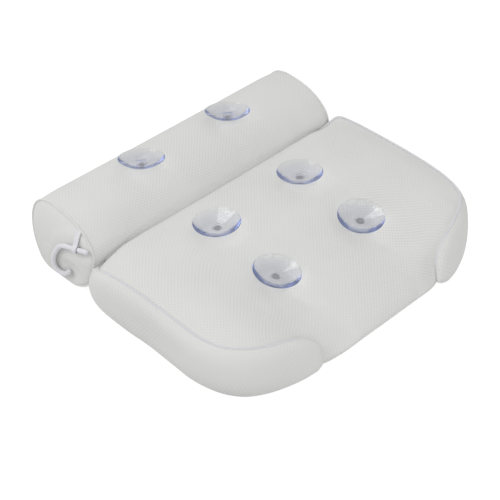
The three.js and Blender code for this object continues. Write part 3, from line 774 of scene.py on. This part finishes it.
def panel(name, faces, p, uv, material, levels=1, thick=0.0012, holes=()):
    used = sorted({i for f in faces for i in f})
    number = {v: k for k, v in enumerate(used)}
    o = new_object(name, metres(p[used]), [[number[i] for i in f] for f in faces], uv=np.array([uv[i] for i in used]), material=material)
    if levels:
        m = o.modifiers.new("round", "SUBSURF")
        m.levels = m.render_levels = levels
        m.boundary_smooth = "PRESERVE_CORNERS"
    m = o.modifiers.new("thick", "SOLIDIFY")
    m.thickness, m.offset = thick, -1.0
    m.use_even_offset = False
    for c in holes:
        m = o.modifiers.new("hole", "BOOLEAN")
        m.operation, m.object, m.solver = "DIFFERENCE", c, "EXACT"
    return tidy(settle(o)) if holes else settle(o)


main_points = press_seats(main_points, False)
all_faces = [f for fs in main_faces.values() for f in fs]
seam_pts = np.zeros(len(main_points), bool)
seam_pts[np.unique(np.concatenate([up_id, low_id]))] = True
pin = seam_pts | near_seats(main_points, False, 9.5)
flat = np.zeros(len(main_points), bool)
flat[front_grid[1:-1, 1:-1].ravel()] = True  # the side it lies on is pressed flat
main_cloth = stuff("main_cloth", main_points, all_faces, pin | flat, 3.0, 14, 6.0, 2.0)


def draw_in(p, faces, line, ids, depth, reach):
    """The stitches draw a panel in beside its seam, most at a small distance from it."""
    normal = np.zeros_like(p)
    for f in faces:
        f = np.array(f)
        n = np.cross(p[f[1]] - p[f[0]], p[f[2]] - p[f[0]])
        normal[f] += n
    normal /= np.maximum(np.linalg.norm(normal, axis=1, keepdims=True), 1e-9)
    if normal[back_grid[back_grid.shape[0] // 2, back_grid.shape[1] // 2], 2] < 0:
        normal = -normal
    p = p.copy()
    for i in ids:
        d = math.sqrt(((line - p[i]) ** 2).sum(1).min()) / reach
        p[i] -= normal[i] * depth * d * math.exp(1 - d)
    return p


seam_line = np.vstack([seam(np.linspace(a, b, 500), low) for a, b in ((3.12, 17.9), (24.1, 38.88)) for low in (False, True)])
loose = ~(pin | flat)
beside = [i for g in (back_grid, right_strip, left_strip) for i in np.unique(g) if loose[i]]
main_cloth = draw_in(main_cloth, all_faces, seam_line, sorted(set(int(i) for i in beside)), 1.2, 4.5)

uv = {}
for g in (back_grid, front_grid):
    m = arc_map(main_points[g])
    table = {}
    for j in range(g.shape[0]):
        for i in range(g.shape[1]):
            table[int(g[j, i])] = m[j, i]
    uv[id(g)] = table


def strip_uv(g):
    p = main_points[g]
    mid = p[:, NT // 2]
    run = np.concatenate([[0], np.cumsum(np.linalg.norm(np.diff(mid, axis=0), axis=1))])
    table = {}
    for k in range(g.shape[0]):
        across = np.concatenate([[0], np.cumsum(np.linalg.norm(np.diff(p[k], axis=0), axis=1))])
        for t in range(NT + 1):
            table[int(g[k, t])] = np.array([run[k], across[t] - across[-1] / 2])
    return table


holes = cutters(False)
main_back = panel("main_back", main_faces["main_back"], main_cloth, uv[id(back_grid)], MESH, 1, holes=holes)
main_front = panel("main_front", main_faces["main_front"], main_cloth, uv[id(front_grid)], MESH, 0)
main_gusset_right = panel("main_gusset_right", main_faces["main_gusset_right"], main_cloth, strip_uv(right_strip), MESH_SIDE, 1)
main_gusset_left = panel("main_gusset_left", main_faces["main_gusset_left"], main_cloth, strip_uv(left_strip), MESH_SIDE, 1)
for c in holes:
    bpy.data.objects.remove(c)


def tube(name, path, radius, sides, material, closed=True, squash=1.0, caps=0):
    """A cord swept along a path in millimetres; its frames don't twist."""
    p = np.array(path, float)
    n = len(p)
    t = (np.roll(p, -1, 0) - np.roll(p, 1, 0)) if closed else np.gradient(p, axis=0)
    t /= np.maximum(np.linalg.norm(t, axis=1, keepdims=True), 1e-9)
    first = np.cross(t[0], (0.3, 0.2, 0.93))
    first /= np.linalg.norm(first)
    normals = [first]
    for i in range(1, n):
        k = normals[-1] - t[i] * (normals[-1] @ t[i])
        normals.append(k / np.linalg.norm(k))
    normals = np.array(normals)
    if closed:  # spread the closing twist along the loop
        k = normals[-1] - t[0] * (normals[-1] @ t[0])
        k /= np.linalg.norm(k)
        twist = math.atan2(np.cross(normals[0], k) @ t[0], normals[0] @ k)
        b = np.cross(t, normals)
        a = -twist * np.arange(n) / n
        normals = normals * np.cos(a)[:, None] + b * np.sin(a)[:, None]
    b = np.cross(t, normals)
    run = np.concatenate([[0], np.cumsum(np.linalg.norm(np.diff(p, axis=0), axis=1))])
    rad = np.broadcast_to(np.asarray(radius, float), (n,))
    co, uvs, faces = [], [], []
    for i in range(n):
        for k in range(sides):
            a = 2 * math.pi * k / sides
            co.append(p[i] + rad[i] * (normals[i] * math.cos(a) + b[i] * math.sin(a) * squash))
            uvs.append((run[i], rad.mean() * a))
    for i in range(n if closed else n - 1):
        for k in range(sides):
            j, m = (i + 1) % n, (k + 1) % sides
            faces.append((i * sides + k, i * sides + m, j * sides + m, j * sides + k))
    if not closed:
        faces += [tuple(range(sides - 1, -1, -1)), tuple(range((n - 1) * sides, n * sides))]
    return new_object(name, metres(np.array(co)), faces, uv=np.array(uvs), material=material)


PIPING_R = 1.4


def gusset_piping(name, first, last):
    s = np.linspace(first, last, 220)
    # round the nose the cord stands proud of the gusset's end
    proud = np.exp(-(((s - (last if first < 10 else first)) / 1.1) ** 2))[:, None]
    aside = np.array([[-1.0 if first < 10 else 1.0, 0, 0]])
    up, lo = seam(s) + outward(s) * (0.35 + 1.0 * proud) + aside * proud, seam(s, True) + outward(s) * (0.3 + 1.0 * proud) + aside * proud
    up[:, 2] += 0.3
    path = evenly(np.vstack([up, lo[::-1]]), 440, closed=True)
    for _ in range(8):
        path = (np.roll(path, 1, 0) + 2 * path + np.roll(path, -1, 0)) / 4
    return tube(name, path, PIPING_R, 10, CORD)


main_piping_right = gusset_piping("main_piping_right", 3.12, 17.9)
main_piping_left = gusset_piping("main_piping_left", 24.1, 38.88)

# ------------------------------------------------------------------ roll
NS, NR = 72, 9
section = evenly(catmull(ROLL_SECTION, np.linspace(0, len(ROLL_SECTION), 1200, endpoint=False)), NS, closed=True)
xs = np.concatenate([np.linspace(-ROLL_SEAM_X, -ROLL_TAPER_FROM, 9)[:-1], np.linspace(-ROLL_TAPER_FROM, ROLL_TAPER_FROM, 66), np.linspace(ROLL_TAPER_FROM, ROLL_SEAM_X, 9)[1:]])


def roll_scale(x):
    t = np.clip((np.abs(x) - ROLL_TAPER_FROM) / (ROLL_SEAM_X - ROLL_TAPER_FROM), 0, 1)
    return 1 - (1 - ROLL_TAPER) * (1 - np.sqrt(np.maximum(1 - t ** 2.2, 0)))


def lean(x, z):
    """The roll's ends lean: the left one's foot stands out, the right one's foot is drawn in."""
    w = smooth(95, ROLL_SEAM_X, np.abs(x))
    return w * np.where(x < 0, 4.5 - 13.5 * (1 - z / 78), 0.6 - 5 * (1 - z / 78))


def swell(x, q):
    """The ends fill out towards the main section, the left one most."""
    out = q.copy()
    near = (1 - smooth(6, 50, q[..., 0])) * smooth(2, 16, q[..., 1])
    out[..., 0] -= (6.0 * smooth(105, ROLL_SEAM_X, -x) + 3.0 * smooth(125, ROLL_SEAM_X, x)) * near
    return out


roll_pts, sleeve_grid = [], np.zeros((len(xs), NS), int)
for i, x in enumerate(xs):
    q = swell(x, ROLL_CENTRE + (section - ROLL_CENTRE) * roll_scale(x))
    for k in range(NS):
        sleeve_grid[i, k] = len(roll_pts)
        roll_pts.append((x + float(lean(x, q[k, 1])), q[k, 0], q[k, 1]))
roll_faces = {"roll_sleeve": [], "roll_end_left": [], "roll_end_right": []}
for i in range(len(xs) - 1):
    for k in range(NS):
        m = (k + 1) % NS
        roll_faces["roll_sleeve"].append((int(sleeve_grid[i, k]), int(sleeve_grid[i + 1, k]), int(sleeve_grid[i + 1, m]), int(sleeve_grid[i, m])))
c, k = math.cos(BAR_TILT), math.sin(BAR_TILT)
bar = lambda d: (BAR_TAPE[0] + d * c, BAR_TAPE[1] + d * k)
on_plane = lambda a, z: (HOOK_AT[0] - a * math.sin(HOOK_TURN), HOOK_AT[1] + a * math.cos(HOOK_TURN), z)
hook_pts = [bar(-15.6), bar(-6), bar(6), bar(15), (0.6, 48.7), (3.9, 45.2), (8.6, 37.4), (11.6, 29.8), (12.1, 21), (8.9, 14.8), (2.8, 12.4), (-4.4, 14.9), (-8.6, 20.4)]
hook_path = evenly(catmull([on_plane(a, z) for a, z in hook_pts], np.linspace(0, len(hook_pts) - 1, 500), closed=False), 110)


def from_hook(y, z):
    return np.hypot(hook_path[:, 1] - y, hook_path[:, 2] - z).min()


def end_x(side, share, y, z):
    """How far out an end panel stands; the hook presses into the left one."""
    x = side * (ROLL_SEAM_X + ROLL_DOME[side] * math.sqrt(1 - share ** 2.3)) + float(lean(side * ROLL_SEAM_X, z))
    if side < 0:
        plane = HOOK_AT[0] - (y - HOOK_AT[1]) * math.tan(HOOK_TURN)
        x = max(x, plane + HOOK_R + 0.6 - 9 * float(smooth(4.0, 24, from_hook(y, z))))
    return x


end_rings = {}
for side, name in ((-1, "roll_end_left"), (1, "roll_end_right")):
    rim = sleeve_grid[0 if side < 0 else -1]
    rings = [rim]
    shape = swell(side * ROLL_SEAM_X, ROLL_CENTRE + (section - ROLL_CENTRE) * ROLL_TAPER)
    for share in np.sin(np.linspace(math.pi / 2, 0, NR + 1))[1:-1]:
        q = ROLL_CENTRE + (shape - ROLL_CENTRE) * share
        row = []
        for k in range(NS):
            row.append(len(roll_pts))
            roll_pts.append((end_x(side, share, *q[k]), q[k, 0], q[k, 1]))
        rings.append(np.array(row))
    tip = len(roll_pts)
    roll_pts.append((end_x(side, 0.0, *ROLL_CENTRE), *ROLL_CENTRE))
    faces = []
    for a, b in zip(rings, rings[1:]):
        for k in range(NS):
            m = (k + 1) % NS
            faces.append((int(a[k]), int(b[k]), int(b[m]), int(a[m])))
    for k in range(NS):
        faces.append((int(rings[-1][k]), tip, int(rings[-1][(k + 1) % NS])))
    roll_faces[name] = faces
    end_rings[name] = rings
roll_pts = np.array(roll_pts)


def face_out(faces, p, centre):
    f = np.array(faces[0])
    n = np.cross(p[f[1]] - p[f[0]], p[f[2]] - p[f[0]])
    if n @ (p[f].mean(0) - centre) < 0:
        return [tuple(reversed(x)) for x in faces]
    return faces


for k in roll_faces:
    c = np.array([0, *ROLL_CENTRE]) if k == "roll_sleeve" else np.array([0, *ROLL_CENTRE])
    roll_faces[k] = face_out(roll_faces[k], roll_pts, c if k != "roll_sleeve" else np.array([xs[0], *ROLL_CENTRE]))

roll_pts = press_seats(roll_pts, True)
pin = np.zeros(len(roll_pts), bool)
pin[sleeve_grid[0]] = pin[sleeve_grid[-1]] = True
pin |= near_seats(roll_pts, True, 9.5)
pin |= (roll_pts[:, 2] < 1.5) & (np.abs(roll_pts[:, 0]) < 165)
pin |= (roll_pts[:, 1] < 3.2)
pin |= np.array([p[0] < -172 and from_hook(p[1], p[2]) < 13 for p in roll_pts])
roll_cloth = stuff("roll_cloth", roll_pts, [f for fs in roll_faces.values() for f in fs], pin, 3.0, 14, 5.0, 1.6)

run = np.concatenate([[0], np.cumsum(np.linalg.norm(np.diff(np.vstack([section, section[:1]]), axis=0), axis=1))])
sleeve_uv = {}
for i, x in enumerate(xs):
    for k in range(NS):
        sleeve_uv[int(sleeve_grid[i, k])] = np.array([x, run[k]])
holes = cutters(True)
roll_sleeve = panel("roll_sleeve", roll_faces["roll_sleeve"], roll_cloth, sleeve_uv, MESH, 1, holes=holes)
for c in holes:
    bpy.data.objects.remove(c)
ends = {}
for name in ("roll_end_left", "roll_end_right"):
    table = {i: roll_pts[i, 1:] for f in roll_faces[name] for i in f}
    ends[name] = panel(name, roll_faces[name], roll_cloth, table, MESH_SIDE, 1)


def ring_piping(name, side):
    shape = swell(side * ROLL_SEAM_X, ROLL_CENTRE + (section - ROLL_CENTRE) * ROLL_TAPER * 1.004)
    path = np.column_stack([side * (ROLL_SEAM_X + 0.4) + lean(np.full(NS, side * ROLL_SEAM_X), shape[:, 1]), shape])
    path = evenly(catmull(path, np.linspace(0, NS, 600, endpoint=False)), 200, closed=True)
    return tube(name, path, 1.15, 10, ROLL_CORD)


roll_piping_left = ring_piping("roll_piping_left", -1)
roll_piping_right = ring_piping("roll_piping_right", 1)

# ------------------------------------------------------------------ web in the crease
web_x = np.linspace(-164, 166, 84)
web_y = np.array([-2.7, -2.5, -2.1, -1.4, -0.6, 0.1, 0.7, 1.2, 1.7, 2.2, 2.8, 3.1, 3.2])
web_z = np.array([33.0, 38.0, 41.6, 42.9, 43.5, 44.2, 45.1, 46.2, 47.4, 48.3, 46.0, 40.0, 33.0])
# the left corner of the main section is rounder, so the crease runs out lower and nearer there
web_shift = np.interp(web_x, [-165, -155, -140, -100, 164], [-3.9, -3.5, -1.6, 0.0, 0.0])
web_drop = np.interp(web_x, [-165, -158, -150, -140, 150, 158, 166], [3.4, 1.9, 0.6, 0.0, 0.0, 0.9, 2.6])
co, faces, uvs = [], [], []
NW = len(web_y)
for i, x in enumerate(web_x):
    for k in range(NW):
        co.append((x, web_y[k] + web_shift[i], web_z[k] - web_drop[i]))
        uvs.append((x, 2.5 * k))
for i in range(len(web_x) - 1):
    for k in range(NW - 1):
        faces.append((i * NW + k, (i + 1) * NW + k, (i + 1) * NW + k + 1, i * NW + k + 1))
web = new_object("crease_web", metres(co), faces, uv=uvs, material=MESH)
m = web.modifiers.new("thick", "SOLIDIFY")
m.thickness, m.offset = 0.001, -1.0
settle(web)


# ------------------------------------------------------------------ suction cups
def rounded(profile, radius, steps=4):
    """A profile with its inner corners rounded; each corner's radius is given, 0 for none."""
    out = [profile[0]]
    for k in range(1, len(profile) - 1):
        a, b, c = (np.array(profile[i], float) for i in (k - 1, k, k + 1))
        r = radius[k]
        if r <= 0:
            out.append(tuple(b))
            continue
        u, w = a - b, c - b
        r = min(r, 0.45 * np.linalg.norm(u), 0.45 * np.linalg.norm(w))
        p, q = b + u / np.linalg.norm(u) * r, b + w / np.linalg.norm(w) * r
        for t in np.linspace(0, 1, steps + 1):
            out.append(tuple((1 - t) ** 2 * p + 2 * t * (1 - t) * b + t * t * q))
    return out + [profile[-1]]


def cup(name, at, axis):
    onroll = name.startswith("roll")
    head = RING_LOW[onroll] - 2.5 - 0.4
    low, floor_z, rim = 0.9, 2.7, 9.3
    # a cone inside; outside, a steeper cone, so the wall tapers to a thin rim
    inner = [(r, floor_z + (rim - floor_z) * max(0.0, (r - 6.0) / 18.75) ** 1.06 + 0.4 * math.exp(-(((r - 4.9) / 0.5) ** 2)))
             for r in np.concatenate([np.linspace(24.3, 6.6, 20), np.linspace(6.3, 3.5, 15), np.linspace(3.0, 1.0, 3)])]
    under = catmull([(7.9, 0.95), (10, 1.1), (12, 1.35), (14, 1.95), (16, 2.85), (18, 3.9), (20, 5.1), (22, 6.5), (23.5, 7.7), (24.5, 8.6)], np.linspace(0, 9, 37), closed=False)
    stem = rounded([(0.0, head - 3.2), (5.5, head - 3.2), (7.0, head - 1.6), (6.6, head), (4.0, head), (4.0, low - 0.8), (0.0, low - 0.8)], [0, 0.8, 1.0, 0.5, 0.5, 0.2, 0])
    profile = [(0.0, low - 0.6), (2.5, low - 0.6), (2.7, low - 0.4), (2.7, low), (7.5, low)]
    corner = [0, 0.0, 0.0, 0.0, 0.3]
    profile += [tuple(q) for q in under]
    corner += [0.0] * len(under)
    profile += [(CUP_R, rim - 0.25), (CUP_R - 0.25, rim)]
    corner += [0.2, 0.2]
    profile += inner + [(0.0, floor_z)]
    corner += [0.0] * (len(inner) + 1)
    profile = rounded(profile, corner)
    sides, co, faces = 128, [], []
    rows, rise, reach = [], [], []
    for part, a, lift in ((stem, np.array(axis), 0.0), (profile, CUP_LEAN.get(name, np.array(axis)), 0.3 if name in CUP_LEAN else 0.0)):
        u = np.cross(a, (0, 1, 0))
        u /= np.linalg.norm(u)
        w = np.cross(a, u)
        for r, h in part:
            turn = [0.0] if r < 1e-6 else [2 * math.pi * k / sides for k in range(sides)]
            rows.append(list(range(len(co), len(co) + len(turn))))
            for t in turn:
                co.append(np.array(at) + a * (h + lift) + r * (u * math.cos(t) + w * math.sin(t)))
                rise.append(h)
                reach.append(r)
    for p, q in zip(rows, rows[1:]):
        if len(p) == 1 and len(q) == 1:
            continue  # from the stem's shell to the bowl's
        for k in range(sides):
            m = (k + 1) % sides
            if len(p) == 1:
                faces.append((p[0], q[m], q[k]))
            elif len(q) == 1:
                faces.append((p[k], p[m], q[0]))
            else:
                faces.append((p[k], p[m], q[m], q[k]))
    co = np.array(co)
    f = faces[len(faces) // 2]
    n = np.cross(co[f[1]] - co[f[0]], co[f[2]] - co[f[0]])
    vol = sum(np.dot(co[x[0]], np.cross(co[x[i]], co[x[i + 1]])) for x in faces for i in range(1, len(x) - 1))
    if vol < 0:
        faces = [tuple(reversed(x)) for x in faces]
    o = new_object("cup_" + name, metres(co), faces, material=PVC)
    o.data.materials.append(STEM_PAINTED_SHADE)
    rise, reach = np.array(rise), np.array(reach)
    # the neck, the head and the centre of the underside take the grey painted-shade stem material
    for f in o.data.polygons:
        v = list(f.vertices)
        if rise[v].max() < low + 0.05 and reach[v].max() < 7.2:
            f.material_index = 1
    o.data.set_sharp_from_angle(angle=math.radians(38))
    o.visible_shadow = False
    return o


cups = {}
for name, at, axis in CUPS:
    cups[name] = cup(name, at, axis)

# ------------------------------------------------------------------ hook and tape
run = np.linspace(0, 1, len(hook_path))
length = np.linalg.norm(np.diff(hook_path, axis=0), axis=1).sum()
from_end = np.minimum(run, 1 - run) * length
hook_r = HOOK_R * np.sqrt(np.clip(1 - (1 - np.clip(from_end / HOOK_R, 0.03, 1)) ** 2, 0, 1))
hook = tube("hook", hook_path, hook_r, 20, PLASTIC, closed=False)

TAPE_W, TAPE_T, LOOP_R = 5.8, 0.9, 3.3
loop = [(LOOP_R + 0.55) * np.array([math.sin(a), math.cos(a)]) for a in np.linspace(0.35, 2 * math.pi + 0.05, 44)]
strap = [np.array(p) for p in ((0.9, 4.5), (1.6, 5.7), (2.6, 7.4), (4.0, 9.3), (5.8, 11.3), (7.8, 13.2), (9.4, 14.6), (10.8, 15.8))]
line = np.array(loop + strap)
line = evenly(line, 90)
for _ in range(3):
    line[1:-1] = (line[:-2] + 2 * line[1:-1] + line[2:]) / 4
t = np.gradient(line, axis=0)
t /= np.linalg.norm(t, axis=1, keepdims=True)
nrm = np.stack([-t[:, 1], t[:, 0]], 1)
widths = np.linspace(-TAPE_W / 2, TAPE_W / 2, 9)
run = np.concatenate([[0], np.cumsum(np.linalg.norm(np.diff(line, axis=0), axis=1))])
co, faces, uvs = [], [], []
for i in range(len(line)):
    for j, y in enumerate(widths):
        x, z = line[i]
        yy, zz = y * math.cos(BAR_TILT) - z * math.sin(BAR_TILT), y * math.sin(BAR_TILT) + z * math.cos(BAR_TILT)
        ct, st = math.cos(HOOK_TURN), math.sin(HOOK_TURN)
        co.append(np.array(on_plane(*BAR_TAPE)) + (x * ct - yy * st, x * st + yy * ct, zz))
        uvs.append((run[i] * 1.3, y))
for i in range(len(line) - 1):
    for j in range(len(widths) - 1):
        n = len(widths)
        faces.append((i * n + j, i * n + j + 1, (i + 1) * n + j + 1, (i + 1) * n + j))
tape = new_object("hook_tape_strap", metres(co), faces, uv=uvs, material=TAPE)
m = tape.modifiers.new("thick", "SOLIDIFY")
m.thickness, m.offset = TAPE_T * 0.001, 0.0
m = tape.modifiers.new("edge", "BEVEL")
m.width, m.segments, m.limit_method = 0.0003, 2, "ANGLE"
settle(tape)

# ------------------------------------------------------------------ riding, standing in
for o in (main_back, main_front, main_gusset_left, main_gusset_right, main_piping_left, main_piping_right,
          roll_sleeve, ends["roll_end_left"], ends["roll_end_right"], roll_piping_left, roll_piping_right, web):
    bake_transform(o)
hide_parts("main_back_cover", "main_filling")
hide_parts("main_front_cover")
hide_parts("main_left_gusset")
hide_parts("main_right_gusset")
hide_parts("main_left_piping")
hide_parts("main_right_piping")
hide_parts("roll_cover", "roll_filling")
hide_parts("roll_left_end_panel")
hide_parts("roll_right_end_panel")
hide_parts("roll_left_piping")
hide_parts("roll_right_piping")
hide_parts("hinge_web")
for name, o in cups.items():
    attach(o, "cup_" + name)
    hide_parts("suction_cup_" + name)
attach(hook, "hanging_hook")
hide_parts("hanging_hook")
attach(tape, "hook_tape")
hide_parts("hook_tape")

# ------------------------------------------------------------------ floor, light, camera
floor_mat, nt, bsdf, out = tree("floor")
bsdf.inputs["Base Color"].default_value = (0.5, 0.5, 0.5, 1)
bsdf.inputs["Roughness"].default_value = 0.9
bsdf.inputs["Specular IOR Level"].default_value = 0.1
bsdf.inputs["Emission Color"].default_value = (1, 1, 1, 1)
bsdf.inputs["Emission Strength"].default_value = 0.72
floor = new_object("floor", [(-6, -6, -0.0006), (6, -6, -0.0006), (6, 6, -0.0006), (-6, 6, -0.0006)], [(0, 1, 2, 3)], material=floor_mat, smooth_shade=False)
floor.visible_diffuse = False

world = bpy.data.worlds.new("studio")
bpy.context.scene.world = world
world.use_nodes = True
nt = world.node_tree
towards = node(nt, "ShaderNodeTexCoord").outputs["Generated"]
above = ramp(nt, dot(nt, towards, (0.0, 0.0, 1.0)), -0.25, 0.35, 0.0, 0.645)
below = ramp(nt, dot(nt, towards, (0.0, 0.0, -1.0)), -0.25, 0.35, 0.0, 0.63)
nt.links.new(calc(nt, "ADD", above, below), nt.nodes["Background"].inputs[1])
nt.nodes["Background"].inputs[0].default_value = (1.0, 1.0, 1.0, 1)


def softbox(name, at, target, size, power, colour=(1, 1, 1)):
    light = bpy.data.lights.new(name, "AREA")
    light.shape = "RECTANGLE"
    light.size, light.size_y = size
    light.energy = power
    light.color = colour
    o = bpy.data.objects.new(name, light)
    o.location = at
    o.rotation_mode = "QUATERNION"
    o.rotation_quaternion = (Vector(target) - Vector(at)).to_track_quat("-Z", "Y")
    bpy.context.scene.collection.objects.link(o)
    return o


softbox("window", (0.08, 0.85, 1.5), (0, -0.02, 0.05), (0.36, 0.85), 2.7)
softbox("left", (-1.0, 0.55, 0.85), (0, 0, 0.05), (0.7, 0.7), 4.7)
softbox("front", (-0.75, -1.05, 1.2), (0, 0, 0.05), (0.8, 0.8), 2.6)
softbox("front_low", (0.1, -1.3, 0.5), (0, 0, 0.05), (0.8, 0.6), 2.7)

AZ, EL, DIST, FOCAL, TX, TY = math.radians(-44.946), math.radians(39.395), 1558.096, 1428.0, -33.164, 34.286
back = Vector((math.sin(AZ) * math.cos(EL), -math.cos(AZ) * math.cos(EL), math.sin(EL)))
right = Vector((math.cos(AZ), math.sin(AZ), 0))
up = back.cross(right)
cam = bpy.data.cameras.new("camera")
cam.sensor_width = 36.0
cam.lens = FOCAL / 500 * 36.0
cam.clip_start, cam.clip_end = 0.05, 50
camera = bpy.data.objects.new("camera", cam)
bpy.context.scene.collection.objects.link(camera)
spot = back * DIST - right * TX - up * TY
spot.y += Y0
turn = Matrix((right, up, back)).transposed().to_4x4()
camera.matrix_world = Matrix.Translation(spot * 0.001) @ turn
bpy.context.scene.camera = camera
bpy.context.scene.view_settings.view_transform = "Standard"
bpy.context.scene.cycles.max_bounces = 24
bpy.context.scene.cycles.glossy_bounces = 12
bpy.context.scene.cycles.transmission_bounces = 20

bpy.context.view_layer.update()
